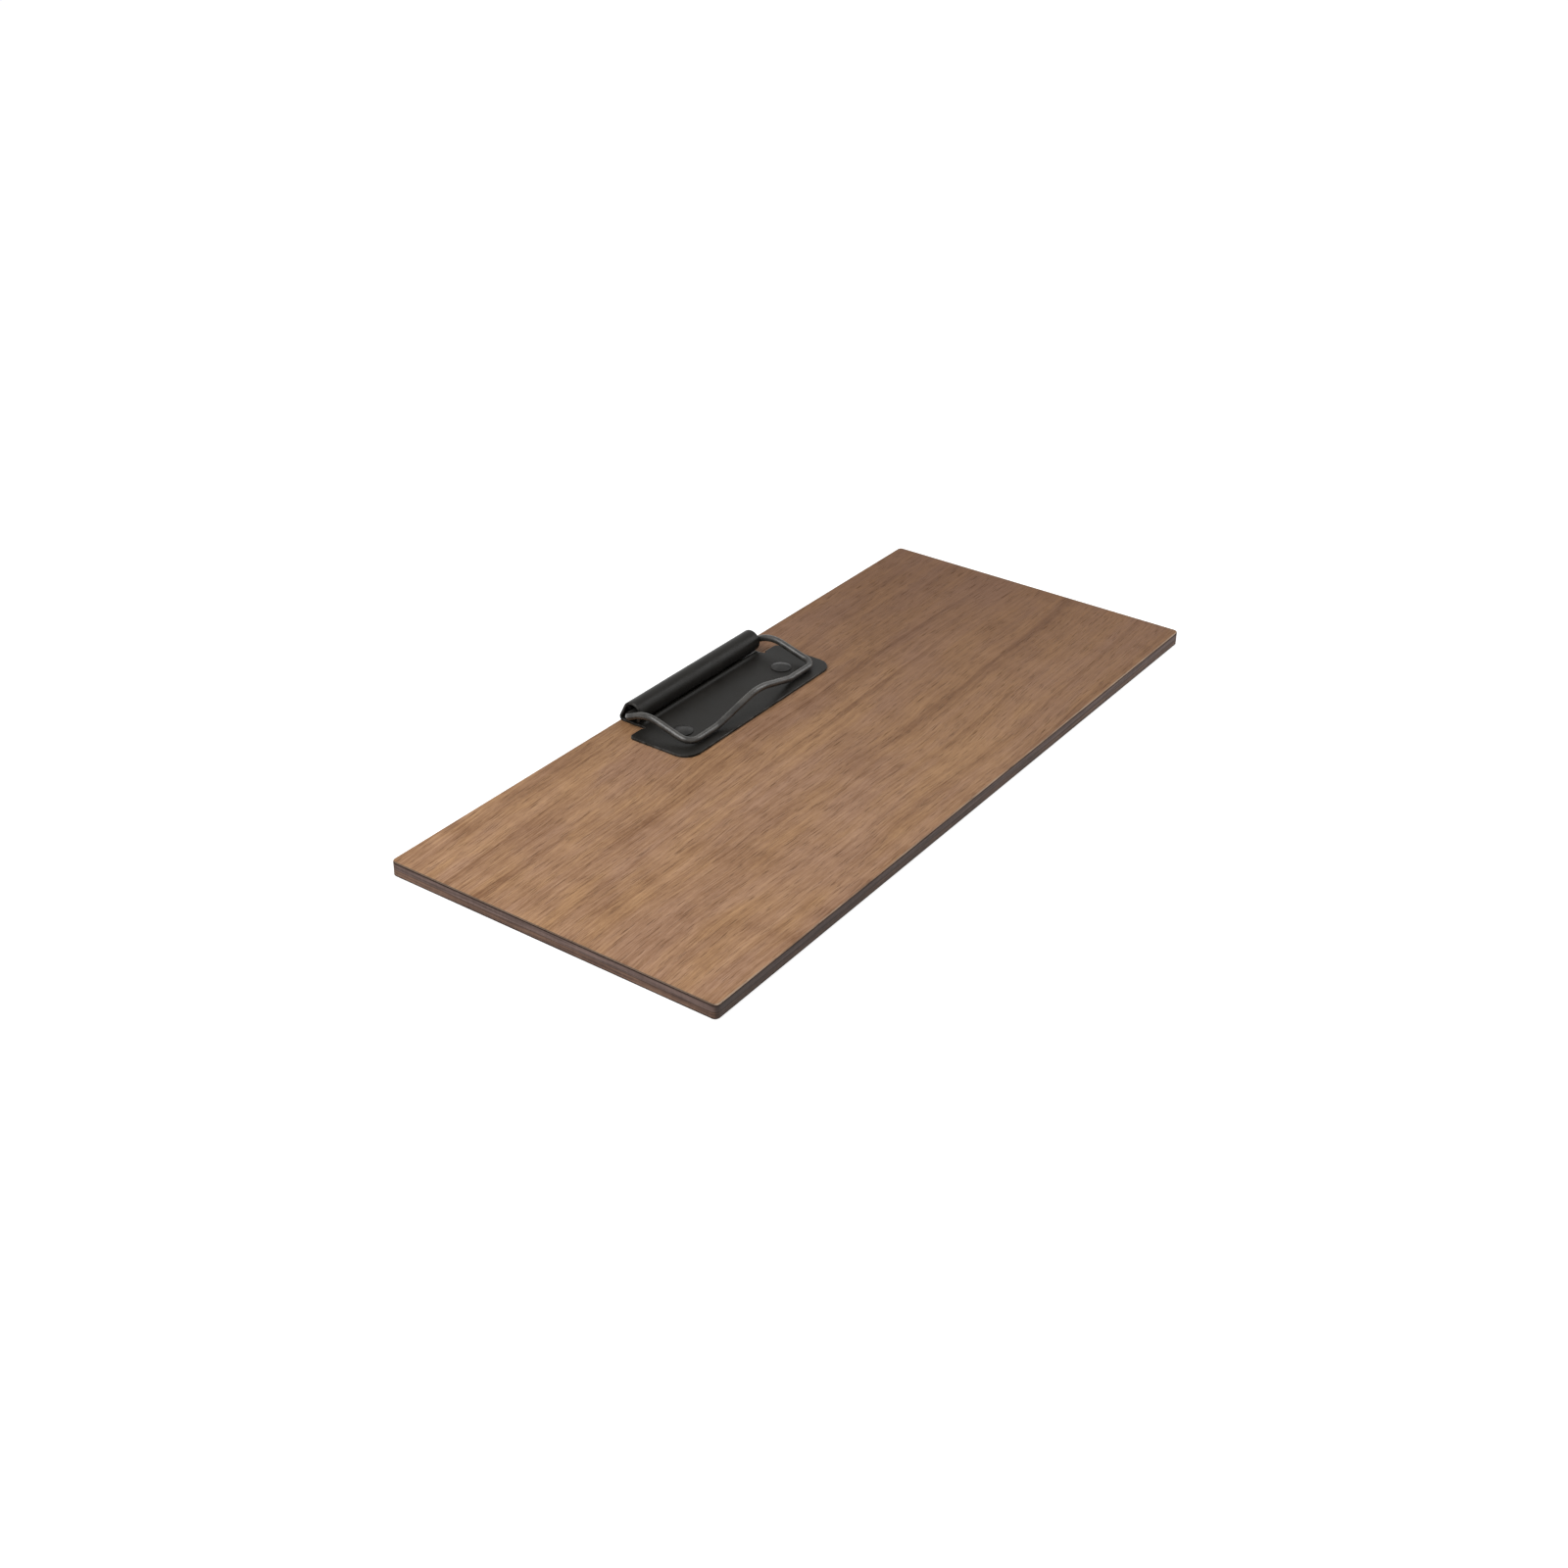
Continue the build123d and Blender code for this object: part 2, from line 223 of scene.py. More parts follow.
hairs = remap(walnut_figure, noise(walnut_figure, figure_place, (110, 2300, 2300), 2.0), 0.34, 0.66)
flecks = remap(walnut_figure, noise(walnut_figure, figure_place, (600, 2600, 2600), 1.0), 0.34, 0.66)
mottle = remap(walnut_figure, noise(walnut_figure, figure_place, (120, 60, 60), 2.0), 0.34, 0.66)
broad_grain = sum_of(walnut_figure, (bands, 0.22), (mottle, 0.17), (rings, -0.42))
all_grain = sum_of(walnut_figure, (broad_grain, 1.0), (lines, 0.26), (hairs, 0.27), (flecks, 0.12))
middle_shade = 0.45
contrast = remap(walnut_figure, axes["X"], -board_half_length, board_half_length, 1.3, 0.7)
off_middle = calc(walnut_figure, "SUBTRACT", all_grain, middle_shade)
figure_shade = calc(walnut_figure, "MULTIPLY_ADD", off_middle, contrast, middle_shade)
warmth = remap(walnut_figure, noise(walnut_figure, figure_place, (26, 120, 120), 3.0), 0.38, 0.62)
pale = mix(walnut_figure, warmth, given["Brown"], given["Gold"])
figure_colour = mix(walnut_figure, figure_shade, given["Shade"], pale)
pore_spots = noise(walnut_figure, figure_place, (170, 3800, 3800), 1.0, 0.4)
pores = remap(walnut_figure, pore_spots, 0.62, 0.72)
pore_depth = calc(walnut_figure, "MULTIPLY", pores, 0.55)
figure_colour = mix(walnut_figure, pore_depth, figure_colour, given["Heart"])
walnut_figure.links.new(figure_colour, result["Color"])
walnut_figure.links.new(pores, result["Pores"])
walnut_figure.links.new(sum_of(walnut_figure, (lines, 0.3), (pores, -1.0)), result["Height"])


def make_walnut_material():
    """Dull satin oiled walnut, with dark sides, the long ones darker still with painted shade, and paler
    arrises, partly worn and partly a painted highlight.
    """
    material, tree, shader, coords = new_material("oiled_walnut", Specular_IOR_Level=0.12)
    settings = {
        "Place": coords["Object"],
        "Gold": (0.448, 0.262, 0.135, 1),
        "Brown": (0.412, 0.247, 0.157, 1),
        "Shade": (0.183, 0.088, 0.042, 1),
        "Heart": (0.09, 0.045, 0.025, 1),
    }
    figure = place_group(tree, walnut_figure, settings)
    axes = split(tree, coords["Object"])
    # Painted shade: the wood is painted darker towards the far rear corner, where the light falls off.
    painted_falloff_shade = remap(tree, sum_of(tree, (axes["X"], 1.0), (axes["Y"], 0.8)), -0.04, 0.13)
    falloff_shade_colour = mix(tree, 1.0, figure["Color"], (0.59, 0.52, 0.47, 1), "MULTIPLY")
    colour = mix(tree, painted_falloff_shade, figure["Color"], falloff_shade_colour)
    facing = split(tree, coords["Normal"])
    flatness = calc(tree, "ABSOLUTE", facing["Z"])
    arris = remap(tree, flatness, 0.98, 0.9)
    # Paler arrises: partly worn, partly a painted highlight that is painted stronger near the near corner.
    rubbing_and_highlight = remap(tree, noise(tree, coords["Object"], (70, 70, 70), 2.0), 0.35, 0.65, 0.15, 0.6)
    near_corner_highlight = remap(tree, axes["X"], -board_half_length, -board_half_length + 0.02, 0.4, 0.0)
    rubbing_and_highlight = calc(tree, "ADD", rubbing_and_highlight, near_corner_highlight)
    colour = mix(tree, calc(tree, "MULTIPLY", arris, rubbing_and_highlight), colour, (0.52, 0.39, 0.29, 1))
    # The veneer's edges are dark; painted shade makes the long ones darker still.
    long_side = remap(tree, calc(tree, "ABSOLUTE", facing["Y"]), 0.4, 0.8)
    edge_and_shade_colour = mix(tree, long_side, (0.022, 0.011, 0.008, 1), (0.075, 0.045, 0.034, 1))
    side = remap(tree, flatness, 0.5, 0.3)
    under_arris = calc(tree, "MULTIPLY", arris, remap(tree, facing["Z"], 0.0, -0.3))
    end_facing = remap(tree, calc(tree, "ABSOLUTE", facing["X"]), 0.4, 0.65, 0.0, 0.75)
    end_arris = calc(tree, "MULTIPLY", arris, end_facing)
    side = calc(tree, "MAXIMUM", calc(tree, "MAXIMUM", side, under_arris), end_arris)
    colour = mix(tree, side, colour, edge_and_shade_colour)
    tree.links.new(colour, shader.inputs["Base Color"])
    dullness = calc(tree, "MAXIMUM", side, remap(tree, figure["Pores"], 0.0, 1.0, 0.46, 0.75))
    tree.links.new(dullness, shader.inputs["Roughness"])
    raise_bumps(tree, shader, figure["Height"], 0.00005)
    return material


paint(make_walnut_material(), "walnut_face_veneer", "walnut_back_veneer")


# Clip plate: one pressed sheet of steel. Its rear edge is bent up into a leaning
# wall and rolled over into a barrel, a bead is pressed along the barrel's foot,
# and two ears stand out past it. The black coating was baked on last.
plate_low, plate_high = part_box("clip_plate")
sheet_thickness = 0.0008
edge_rounding = 0.00022
barrel_half_length = 0.0286
wall_lean = np.radians(65)
bend_outer_radius = 0.0013
roll_outer_radius = 0.00325
bend_radius = bend_outer_radius - sheet_thickness / 2
roll_radius = roll_outer_radius - sheet_thickness / 2
bend_y = plate_high.y - bend_outer_radius
bend_z = plate_low.z + bend_outer_radius
roll_rise = plate_high.z - roll_outer_radius - bend_z
roll_forward = (roll_outer_radius - bend_outer_radius + np.cos(wall_lean) * roll_rise) / np.sin(wall_lean)
wall_length = roll_forward * np.cos(wall_lean) + roll_rise * np.sin(wall_lean)
lip_gap = 0.0004
lip_drop = plate_high.z - roll_outer_radius - plate_low.z - sheet_thickness - lip_gap
bend_turn = np.pi - wall_lean
roll_turn = np.pi / 2 + wall_lean + np.arcsin(lip_drop / roll_outer_radius)
flange_depth = 0.021
flat_depth = bend_y - plate_low.y
wall_depth = flat_depth + bend_radius * bend_turn
roll_depth = wall_depth + wall_length
blank_depth = roll_depth + roll_radius * roll_turn
ear_half_width = plate_high.x
ear_corner_radius = 0.0015
front_corner_radius = 0.005
relief_radius = 0.00065
bead_depth = flange_depth + 0.0013
bead_half_length = barrel_half_length - 0.0014
bead_half_width = 0.0012
bead_height = 0.00055
rivet_x = 0.024
rivet_depth = 0.011
rivet_hole_radius = 0.0016
anchor_x = 0.024
anchor_z = 0.0057
anchor_hole_radius = 0.00045
anchor_depth = flat_depth + 0.00125
anchor_patch = (0.0008, 0.001)
fine_columns_from = 0.022
fine_columns_to = 0.028
corner_steps = 12
ear_steps = 6
edge_steps = 4


def spread(*stops, end):
    """Values up to an end: each stop is where a stretch starts and how many steps it has."""
    starts = [start for start, steps in stops] + [end]
    stretches = [
        np.linspace(low, high, steps, endpoint=False)
        for (low, steps), high in zip(stops, starts[1:])
    ]
    return np.append(np.concatenate(stretches), end)


def blank_columns(inset):
    """Places across the flat blank, drawn in from its edge: over the barrel, then ear to ear."""
    stops = (0, 14), (fine_columns_from, 15), (fine_columns_to, 1)
    half_body = spread(*stops, end=barrel_half_length - inset)
    relief = relief_radius + inset
    relief_turn = np.linspace(0, np.pi - np.arcsin(inset / relief), corner_steps + 1)[1:]
    relief_columns = barrel_half_length + relief_radius - relief * np.cos(relief_turn)
    ear_end = ear_half_width - ear_corner_radius
    ear_columns = np.linspace(relief_columns[-1], ear_end, ear_steps + 1)[1:]
    corner_turn = np.linspace(0, np.pi / 2, corner_steps + 1)[1:]
    corner_columns = ear_columns[-1] + (ear_corner_radius - inset) * np.sin(corner_turn)
    half_ear = np.concatenate([relief_columns, ear_columns, corner_columns])
    body = np.concatenate([-half_body[:0:-1], half_body])
    return body, np.concatenate([-half_ear[::-1], body, half_ear])


def flat_blank(inset):
    """The blank before it is rolled, drawn in by an inset: two grids of (across, depth).

    The first grid is the flange. Each column runs from the front outline, a straight edge
    with a quarter circle at each end, to the rear outline, which is the barrel's foot, then
    the round relief, the ear's straight edge and its corner. The second grid is the strip
    that is rolled up. Its rows go on from the flange's last row.
    """
    body, across = blank_columns(inset)
    reach = np.abs(across)
    past_front = np.maximum(reach - ear_half_width + front_corner_radius, 0)
    front_bow = np.sqrt(np.maximum((front_corner_radius - inset) ** 2 - past_front**2, 0))
    past_ear = np.maximum(reach - ear_half_width + ear_corner_radius, 0)
    ear_bow = np.sqrt(np.maximum((ear_corner_radius - inset) ** 2 - past_ear**2, 0))
    off_relief = reach - barrel_half_length - relief_radius
    relief_bow = np.sqrt(np.maximum((relief_radius + inset) ** 2 - off_relief**2, 0))
    front = front_corner_radius - front_bow
    rear = np.minimum(flange_depth - ear_corner_radius + ear_bow, flange_depth - relief_bow)
    rear[reach < barrel_half_length - inset / 2] = flange_depth
    rivet_front = rivet_depth - rivet_hole_radius
    rows = spread((inset, 6), (rivet_front, 8), (rivet_depth + rivet_hole_radius, 6), end=flange_depth)
    share = (rows - inset) / (flange_depth - inset)
    flange = np.stack(np.broadcast_arrays(across, front + share[:, None] * (rear - front)), -1)
    bead_rear = 2 * bead_depth - flange_depth
    strip_stops = (flange_depth, 18), (bead_rear, 6), (flat_depth, 14), (wall_depth, 8), (roll_depth, 44)
    strip_rows = spread(*strip_stops, end=blank_depth - inset)
    return flange, np.stack(np.meshgrid(body, strip_rows), -1)


def wrap_blank(blank, above):
    """Bends the blank, at a height above the middle of the sheet.

    The middle of the sheet lies flat on the board, raised by the bead, a squared cosine. It
    then turns by depth over radius round the bend, runs straight up the wall, and turns
    again round the roll. The height is measured square to the sheet all the way.
    """
    across, depth = blank[..., 0], blank[..., 1]
    off_bead = np.hypot(np.maximum(np.abs(across) - bead_half_length, 0), depth - bead_depth)
    bead = bead_height * np.cos(np.pi / 2 * np.minimum(off_bead / bead_half_width, 1)) ** 2
    bent = np.clip((depth - flat_depth) / bend_radius, 0, bend_turn)
    up_wall = np.clip(depth - wall_depth, 0, wall_length)
    turned = bent + np.maximum(depth - roll_depth, 0) / roll_radius
    y = bend_y + np.minimum(depth - flat_depth, 0) + bend_radius * np.sin(bent)
    y += up_wall * np.cos(bend_turn) + roll_radius * (np.sin(turned) - np.sin(bent))
    z = bend_z - bend_radius * np.cos(bent) + up_wall * np.sin(bend_turn)
    z += roll_radius * (np.cos(bent) - np.cos(turned)) + bead
    return np.stack([across, y - above * np.sin(turned), z + above * np.cos(turned)], -1)


def ring_round(rows, columns, numbers):
    """The numbers round the edge of a block of a grid, anticlockwise from its first corner."""
    block = numbers[rows[0] : rows[1] + 1, columns[0] : columns[1] + 1]
    return np.concatenate([block[0], block[1:, -1], block[-1, -2::-1], block[-2:0:-1, 0]])


def block_near(grid, across, depth, half_width, half_depth):
    """The rows and columns of a grid that lie nearest to the sides of a rectangle."""
    columns = [np.abs(grid[0, :, 0] - across - side * half_width).argmin() for side in (-1, 1)]
    down = grid[:, columns[0], 1]
    rows = [np.abs(down - depth - side * half_depth).argmin() for side in (-1, 1)]
    return rows, columns


def make_sheet():
    """The sheet's shell: two wrapped blanks, joined round the outline and round each hole.

    The outline's edge is rounded: the blank is drawn in by the rounding at each face, and
    swells out to its full size between them on a quarter circle.
    """
    flange, strip = flat_blank(edge_rounding)
    rows, columns = flange.shape[:2]
    body_start = (columns - strip.shape[1]) // 2
    body_stop = columns - body_start
    flange_numbers = np.arange(rows * columns).reshape(rows, columns)
    strip_numbers = rows * columns + np.arange(strip[1:, :, 0].size).reshape(-1, strip.shape[1])
    strip_numbers = np.vstack([flange_numbers[-1, body_start:body_stop], strip_numbers])
    outline = np.concatenate(
        [
            flange_numbers[0],
            flange_numbers[1:, -1],
            flange_numbers[-1, columns - 2 : body_stop - 2 : -1],
            strip_numbers[1:, -1],
            strip_numbers[-1, -2::-1],
            strip_numbers[-2::-1, 0],
            flange_numbers[-1, body_start - 1 :: -1],
            flange_numbers[-2:0:-1, 0],
        ]
    )
    blank = np.concatenate([flange.reshape(-1, 2), strip[1:].reshape(-1, 2)])
    faces_of = [blank.copy(), blank.copy()]
    heights = (sheet_thickness / 2, -sheet_thickness / 2)
    kept = [np.ones(numbers.shape - np.array([1, 1]), bool) for numbers in (flange_numbers, strip_numbers)]
    rings = []
    for side in (-1, 1):
        hole = block_near(flange, side * rivet_x, rivet_depth, rivet_hole_radius, rivet_hole_radius)
        ring = ring_round(*hole, flange_numbers)
        kept[0][slice(*hole[0]), slice(*hole[1])] = False
        off = blank[ring] - (side * rivet_x, rivet_depth)
        circle = rivet_hole_radius * off / np.linalg.norm(off, axis=1, keepdims=True)
        for face in faces_of:
            face[ring] = circle + (side * rivet_x, rivet_depth)
        rings.append(ring)

        hole = block_near(strip, side * anchor_x, anchor_depth, *anchor_patch)
        ring = ring_round(*hole, strip_numbers)
        kept[1][slice(*hole[0]), slice(*hole[1])] = False
        off = (blank[ring] - (side * anchor_x, anchor_depth)) / anchor_patch
        circle = anchor_hole_radius * off / np.linalg.norm(off, axis=1, keepdims=True)
        climb = np.stack([np.zeros(200), np.linspace(flat_depth, roll_depth, 200)], -1)
        for face, above in zip(faces_of, heights):
            depth = np.interp(circle[:, 1] + anchor_z, wrap_blank(climb, above)[:, 2], climb[:, 1])
            face[ring] = np.stack([circle[:, 0] + side * anchor_x, depth], -1)
        rings.append(ring)

    points = [wrap_blank(face, above) for face, above in zip(faces_of, heights)]
    count = len(blank)
    top = []
    for numbers, keep in zip((flange_numbers, strip_numbers), kept):
        cells = [numbers[:-1, :-1], numbers[:-1, 1:], numbers[1:, 1:], numbers[1:, :-1]]
        top.append(np.stack(cells, -1)[keep])
    top = np.concatenate(top)
    quads = [top, top[:, ::-1] + count]
    for ring in rings:
        ahead = np.roll(ring, -1)
        quads.append(np.stack([ring, ahead, ahead + count, ring + count], -1))

    turns = np.linspace(0, np.pi / 2, edge_steps + 1)[1:]
    loops = [outline]
    for half, sides in ((1, turns), (-1, turns[::-1])):
        for turn in sides:
            grids = flat_blank(edge_rounding * (1 - np.sin(turn)))
            edge = np.concatenate([grids[0].reshape(-1, 2), grids[1][1:].reshape(-1, 2)])[outline]
            above = half * (sheet_thickness / 2 - edge_rounding * (1 - np.cos(turn)))
            loops.append(sum(len(part) for part in points) + np.arange(len(outline)))
            points.append(wrap_blank(edge, above))
    loops.append(outline + count)
    for loop, below in zip(loops, loops[1:]):
        quads.append(np.stack([loop, below, np.roll(below, -1), np.roll(loop, -1)], -1))
    # Rim points: rubbed coating, partly painted as a highlight along the edges.
    rim_wear_and_glint = np.concatenate([np.zeros(2 * count), np.ones(sum(len(part) for part in points[2:]))])
    used, quads = np.unique(np.concatenate(quads), return_inverse=True)
    return np.concatenate(points)[used], quads.reshape(-1, 4), rim_wear_and_glint[used]


def add_surface(name, points, quads, material):
    """Makes an object of points and four-sided faces, whose normals weigh each face by its area."""
    mesh = bpy.data.meshes.new(name)
    mesh.from_pydata(points.tolist(), [], quads.tolist())
    corners = points[quads]
    facing = np.cross(corners[:, 2] - corners[:, 0], corners[:, 3] - corners[:, 1])
    normals = np.zeros_like(points)
    np.add.at(normals, quads.ravel(), np.repeat(facing, 4, axis=0))
    mesh.normals_split_custom_set_from_vertices(
        (normals / np.linalg.norm(normals, axis=1, keepdims=True)).tolist()
    )
    mesh.materials.append(material)
    surface = bpy.data.objects.new(name, mesh)
    bpy.context.scene.collection.objects.link(surface)
    return surface


baked_coating, given, result = new_group(
    "baked_coating",
    {"Place": "Vector", "Coat": "Color", "Rubbed And Glint": "Color", "Wear And Glint": "Float"},
    {"Color": "Color", "Gloss Spread": "Float", "Height": "Float"},
)
peel = remap(baked_coating, noise(baked_coating, given["Place"], (2400, 2400, 2400), 1.0), 0.3, 0.7)
clouds = remap(baked_coating, noise(baked_coating, given["Place"], (160, 160, 160), 3.0), 0.3, 0.7)
scuff_spots = noise(baked_coating, given["Place"], (280, 450, 450), 3.0, 0.6)
scuffs_and_rim_glint = calc(baked_coating, "MULTIPLY", remap(baked_coating, scuff_spots, 0.42, 0.62), given["Wear And Glint"])
dark_coat = mix(baked_coating, 0.25, given["Coat"], (0, 0, 0, 1))
cloudy_coat = mix(baked_coating, clouds, dark_coat, given["Coat"])
baked_coating.links.new(mix(baked_coating, scuffs_and_rim_glint, cloudy_coat, given["Rubbed And Glint"]), result["Color"])
baked_coating.links.new(sum_of(baked_coating, (clouds, 0.12), (scuffs_and_rim_glint, -0.08)), result["Gloss Spread"])
baked_coating.links.new(peel, result["Height"])


def make_coated_material(name, coat, rubbed_and_glint, roughness, gloss, wear_and_glint=0.0):
    """Black coated steel, rubbed thin and lighter where the surface's own rim attribute says so; on the
    sheet's rims that lighter colour is partly a painted highlight.
    """
    material, tree, shader, coords = new_material(name, Specular_IOR_Level=gloss)
    rim_wear_and_glint = add_node(tree, "ShaderNodeAttribute", attribute_name="rim_wear_and_glint").outputs["Fac"]
    wear_and_glint = sum_of(tree, (rim_wear_and_glint, 0.8), (1.0, wear_and_glint))
    settings = {"Place": coords["Object"], "Coat": coat, "Rubbed And Glint": rubbed_and_glint, "Wear And Glint": wear_and_glint}
    coating = place_group(tree, baked_coating, settings)
    tree.links.new(coating["Color"], shader.inputs["Base Color"])
    gloss_spread = sum_of(tree, (coating["Gloss Spread"], 1.0), (1.0, roughness))
    tree.links.new(gloss_spread, shader.inputs["Roughness"])
    raise_bumps(tree, shader, coating["Height"], 0.000006)
    return material


# The sheet's rubbed colour, on its rims, is partly wear and partly a painted highlight.
sheet_coat = (0.0165, 0.0152, 0.0134, 1)
rubbed_glint_sheet = (0.07, 0.068, 0.064, 1)
coated_sheet = make_coated_material(
    "black_coated_sheet", sheet_coat, rubbed_glint_sheet, roughness=0.3, gloss=0.1
)
sheet_points, sheet_quads, sheet_rim_wear_and_glint = make_sheet()
rolled_sheet = add_surface("rolled_clip_plate", sheet_points, sheet_quads, coated_sheet)
rim_wear_and_glint = rolled_sheet.data.attributes.new("rim_wear_and_glint", "FLOAT", "POINT")
rim_wear_and_glint.data.foreach_set("value", sheet_rim_wear_and_glint)
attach(rolled_sheet, "board")
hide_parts("clip_plate")


# Wire bail: one length of round wire, bent cold and coated like the plate. It
# swings on its two ends, which lie in the barrel inside the springs.
wire_coat = (0.028, 0.026, 0.0235, 1)
rubbed_wire = (0.13, 0.122, 0.11, 1)
coated_wire = make_coated_material(
    "black_coated_wire", wire_coat, rubbed_wire, roughness=0.24, gloss=0.45, wear_and_glint=0.3
)
paint(coated_wire, "wire_bail")


# Torsion springs: bare drawn spring wire, wound round the bail's two ends, and out
# of sight but for the barrel's mouths. Each runs from its tang in the plate's
# anchor hole to its hook through the bail's end.
spring_wire_radius = 0.00035
spring_turns = 12
spring_pitch = 0.0015
coil_radius = 0.00145
hook_radius = 0.0005
hook_angle = np.arcsin(hook_radius / (coil_radius - hook_radius))
coil_turn = 2 * np.pi * spring_turns - hook_angle
last_turn = 2 * np.pi * spring_turns + np.pi / 2
hook_rise = 0.001608
hinge_y = 0.047324
hinge_z = anchor_z + coil_radius
tang_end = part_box("right_torsion_spring")[1].y
coil_steps = 288
hook_steps = 8
wire_sides = 12


def make_steel_material(name, bright, dull, roughness):
    """Bare or plated steel: cloudy tarnish that is darker and rougher in its patches."""
    material, tree, shader, coords = new_material(name, Metallic=1.0)
    tarnish = remap(tree, noise(tree, coords["Object"], (500, 500, 500), 4.0, 0.6), 0.35, 0.65)
    tree.links.new(mix(tree, tarnish, bright, dull), shader.inputs["Base Color"])
    tree.links.new(remap(tree, tarnish, 0.0, 1.0, roughness, roughness + 0.16), shader.inputs["Roughness"])
    draw_lines = noise(tree, coords["Object"], (5200, 5200, 900), 1.0)
    raise_bumps(tree, shader, draw_lines, 0.000004)
    return material


spring_steel = make_steel_material(
    "drawn_spring_steel", bright=(0.5, 0.5, 0.51, 1), dull=(0.3, 0.29, 0.28, 1), roughness=0.28
)


def wind_spring(side):
    """A round wire carried along the spring's route, on one side of the clip.

    The route comes straight in under the hinge. It winds round the hinge by an angle, while
    it moves along by its share of the pitch, then turns more tightly into the hook, and
    ends with a straight line across the hinge. Each ring of the wire lies square to it.
    """
    turned = spread((0, coil_steps), (coil_turn, hook_steps), end=last_turn)
    turned = np.concatenate([[0], turned, [last_turn]])
    wound = np.minimum(turned, coil_turn)
    y = hinge_y - coil_radius * np.sin(wound) - hook_radius * (np.sin(turned) - np.sin(wound))
    z = hinge_z - coil_radius * np.cos(wound) - hook_radius * (np.cos(turned) - np.cos(wound))
    y[0] = tang_end
    z[-1] += hook_rise
    route = np.stack([side * (anchor_x - spring_pitch * wound / (2 * np.pi)), y, z], -1)
    outward = np.stack([np.zeros_like(turned), -np.sin(turned), -np.cos(turned)], -1)
    sideways = np.cross(np.gradient(route, axis=0), outward)
    sideways /= np.linalg.norm(sideways, axis=1, keepdims=True)
    round_wire = 2 * np.pi * np.arange(wire_sides)[None, :, None] / wire_sides
    rings = outward[:, None] * np.cos(round_wire) + sideways[:, None] * np.sin(round_wire)
    rings = route[:, None] + spring_wire_radius * rings

    numbers = np.arange(len(route) * wire_sides).reshape(-1, wire_sides)
    ahead = np.roll(numbers, -1, axis=1)
    wall = np.stack([numbers[:-1], ahead[:-1], ahead[1:], numbers[1:]], -1).reshape(-1, 4)
    rungs = np.arange(wire_sides // 2 - 1)
    cap = np.stack([rungs, rungs + 1, wire_sides - 2 - rungs, wire_sides - 1 - rungs], -1)
    return rings.reshape(-1, 3), np.concatenate([wall, cap[:, ::-1], cap + numbers[-1, 0]])


for side, name in ((1, "right"), (-1, "left")):
    spring = add_surface(name + "_wound_spring", *wind_spring(side), spring_steel)
    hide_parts(name + "_torsion_spring")
    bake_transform(spring)


# Rivets and washers: black semi-tubular rivets hold the plate to the board. Each
# is spread over a zinc plated washer, in a counterbore underneath.
rivet_coat = (0.016, 0.0155, 0.015, 1)
rubbed_rivet = (0.06, 0.056, 0.052, 1)
coated_rivet = make_coated_material(
    "black_rivet", rivet_coat, rubbed_rivet, roughness=0.28, gloss=0.2, wear_and_glint=0.3
)
paint(coated_rivet, "rivets")
zinc_plate = make_steel_material(
    "zinc_plate", bright=(0.66, 0.67, 0.69, 1), dull=(0.46, 0.47, 0.49, 1), roughness=0.3
)
paint(zinc_plate, "rivet_washers")


# Setting: a pale floor under plain soft light, seen from above the near corner.
# Floor and surroundings are white to the camera and in reflections, but light
# the object more dimly.
floor_half_width = 4.0
floor_drop = 0.0001
floor_colour = (0.5, 0.5, 0.5, 1)
floor_glow = 0.81
sky_level = 0.25


def white_rays(tree):
    """1 for rays from the camera, and for those seen in gloss or through glass."""
    rays = tree.nodes.new("ShaderNodeLightPath").outputs
    seen = calc(tree, "MAXIMUM", rays["Is Camera Ray"], rays["Is Glossy Ray"])
    return calc(tree, "MAXIMUM", seen, rays["Is Transmission Ray"])


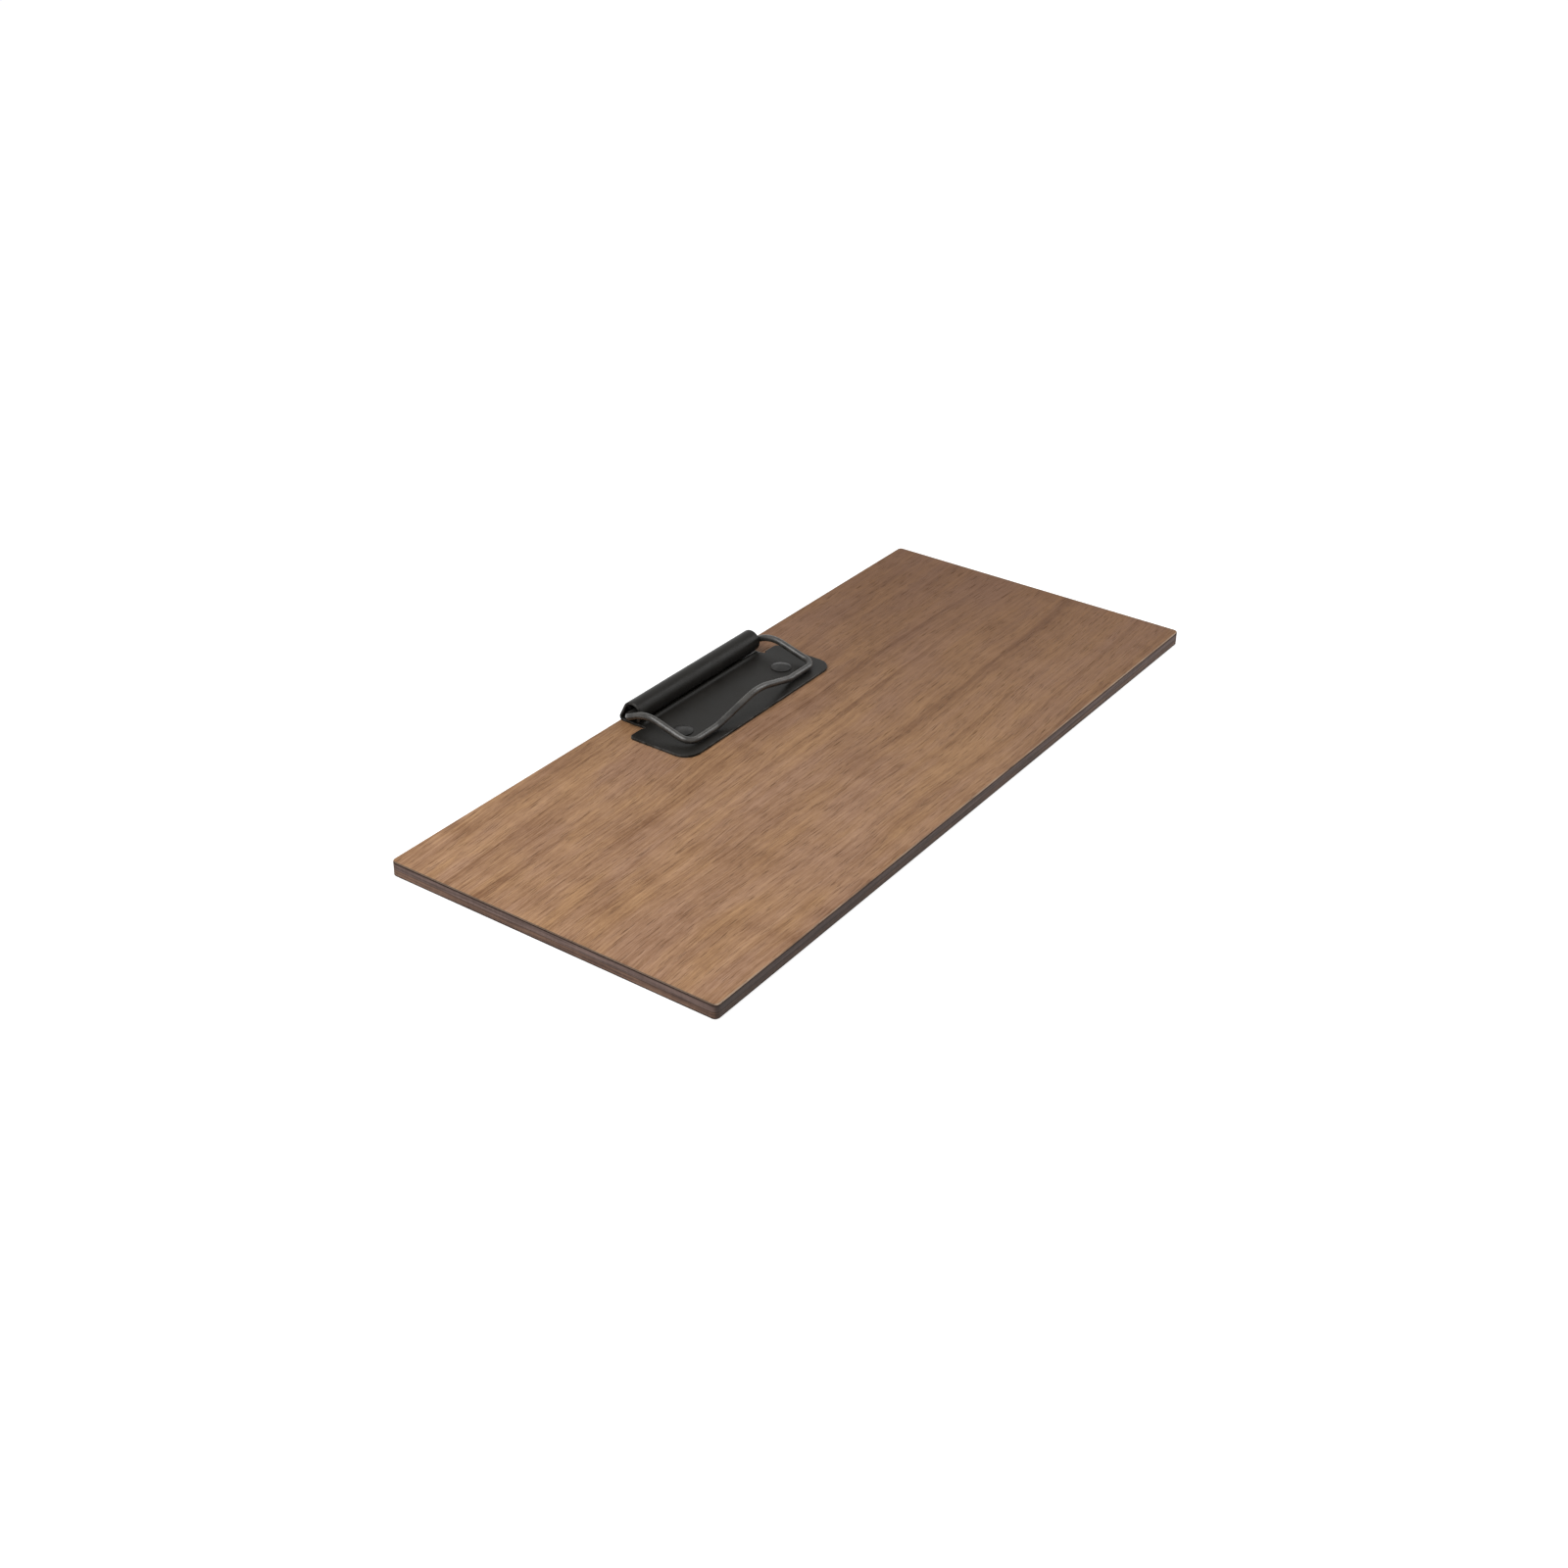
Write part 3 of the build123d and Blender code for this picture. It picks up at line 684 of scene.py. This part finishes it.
floor_mesh = bpy.data.meshes.new("floor")
corners = [(-1, -1), (1, -1), (1, 1), (-1, 1)]
floor_points = [(x * floor_half_width, y * floor_half_width, -floor_drop) for x, y in corners]
floor_mesh.from_pydata(floor_points, [], [(0, 1, 2, 3)])
floor = bpy.data.objects.new("floor", floor_mesh)
bpy.context.scene.collection.objects.link(floor)
pale_floor, tree, shader, coords = new_material(
    "pale_floor",
    Base_Color=floor_colour,
    Roughness=1.0,
    Specular_IOR_Level=0.0,
    Emission_Color=(1, 1, 1, 1),
)
tree.links.new(calc(tree, "MULTIPLY", white_rays(tree), floor_glow), shader.inputs["Emission Strength"])
below = tree.nodes.new("ShaderNodeNewGeometry").outputs["Backfacing"]
tree.links.new(calc(tree, "SUBTRACT", 1.0, below), shader.inputs["Alpha"])
floor_mesh.materials.append(pale_floor)

studio = bpy.data.worlds.new("studio")
bpy.context.scene.world = studio
studio.use_nodes = True
tree = studio.node_tree
tree.nodes["Background"].inputs["Color"].default_value = (1, 1, 1, 1)
sky_strength = remap(tree, white_rays(tree), 0.0, 1.0, sky_level, 1.0)
tree.links.new(sky_strength, tree.nodes["Background"].inputs["Strength"])


def add_lamp(kind, place, aim, energy, **settings):
    """One studio lamp, turned to point at an aim."""
    data = bpy.data.lights.new(kind.lower() + "_lamp", kind)
    data.energy = energy
    for name, value in settings.items():
        setattr(data, name, value)
    lamp = bpy.data.objects.new(data.name, data)
    lamp.location = place
    lamp.rotation_euler = (Vector(aim) - Vector(place)).to_track_quat("-Z", "Y").to_euler()
    bpy.context.scene.collection.objects.link(lamp)


add_lamp("SUN", place=(-0.5, 0.3, 1.2), aim=(0, 0, 0), energy=0.6, angle=math.radians(35))
add_lamp("AREA", place=(-0.32, 0.06, 0.33), aim=(-0.06, 0, 0), energy=1.5, size=0.3)
tall_strip = {"shape": "RECTANGLE", "size": 0.15, "size_y": 0.35}
add_lamp("AREA", place=(0.36, -0.17, 0.24), aim=(0, 0.04, 0), energy=0.6, **tall_strip)

camera_place = Vector((-0.42790, -0.27776, 0.29080))
camera_aim = Vector((-0.02965, -0.00657, 0.0044))
camera_roll = math.radians(1.4054)
photo_width = 1600
focal_length_in_pixels = 2128.0
camera_data = bpy.data.cameras.new("camera")
camera_data.sensor_width = 36.0
camera_data.lens = camera_data.sensor_width * focal_length_in_pixels / photo_width
camera_data.clip_start = 0.01
camera = bpy.data.objects.new("camera", camera_data)
camera.location = camera_place
level_view = (camera_aim - camera_place).to_track_quat("-Z", "Y")
camera.rotation_euler = (level_view @ Quaternion((0, 0, 1), camera_roll)).to_euler()
bpy.context.scene.collection.objects.link(camera)
bpy.context.scene.camera = camera
bpy.context.scene.view_settings.view_transform = "Standard"
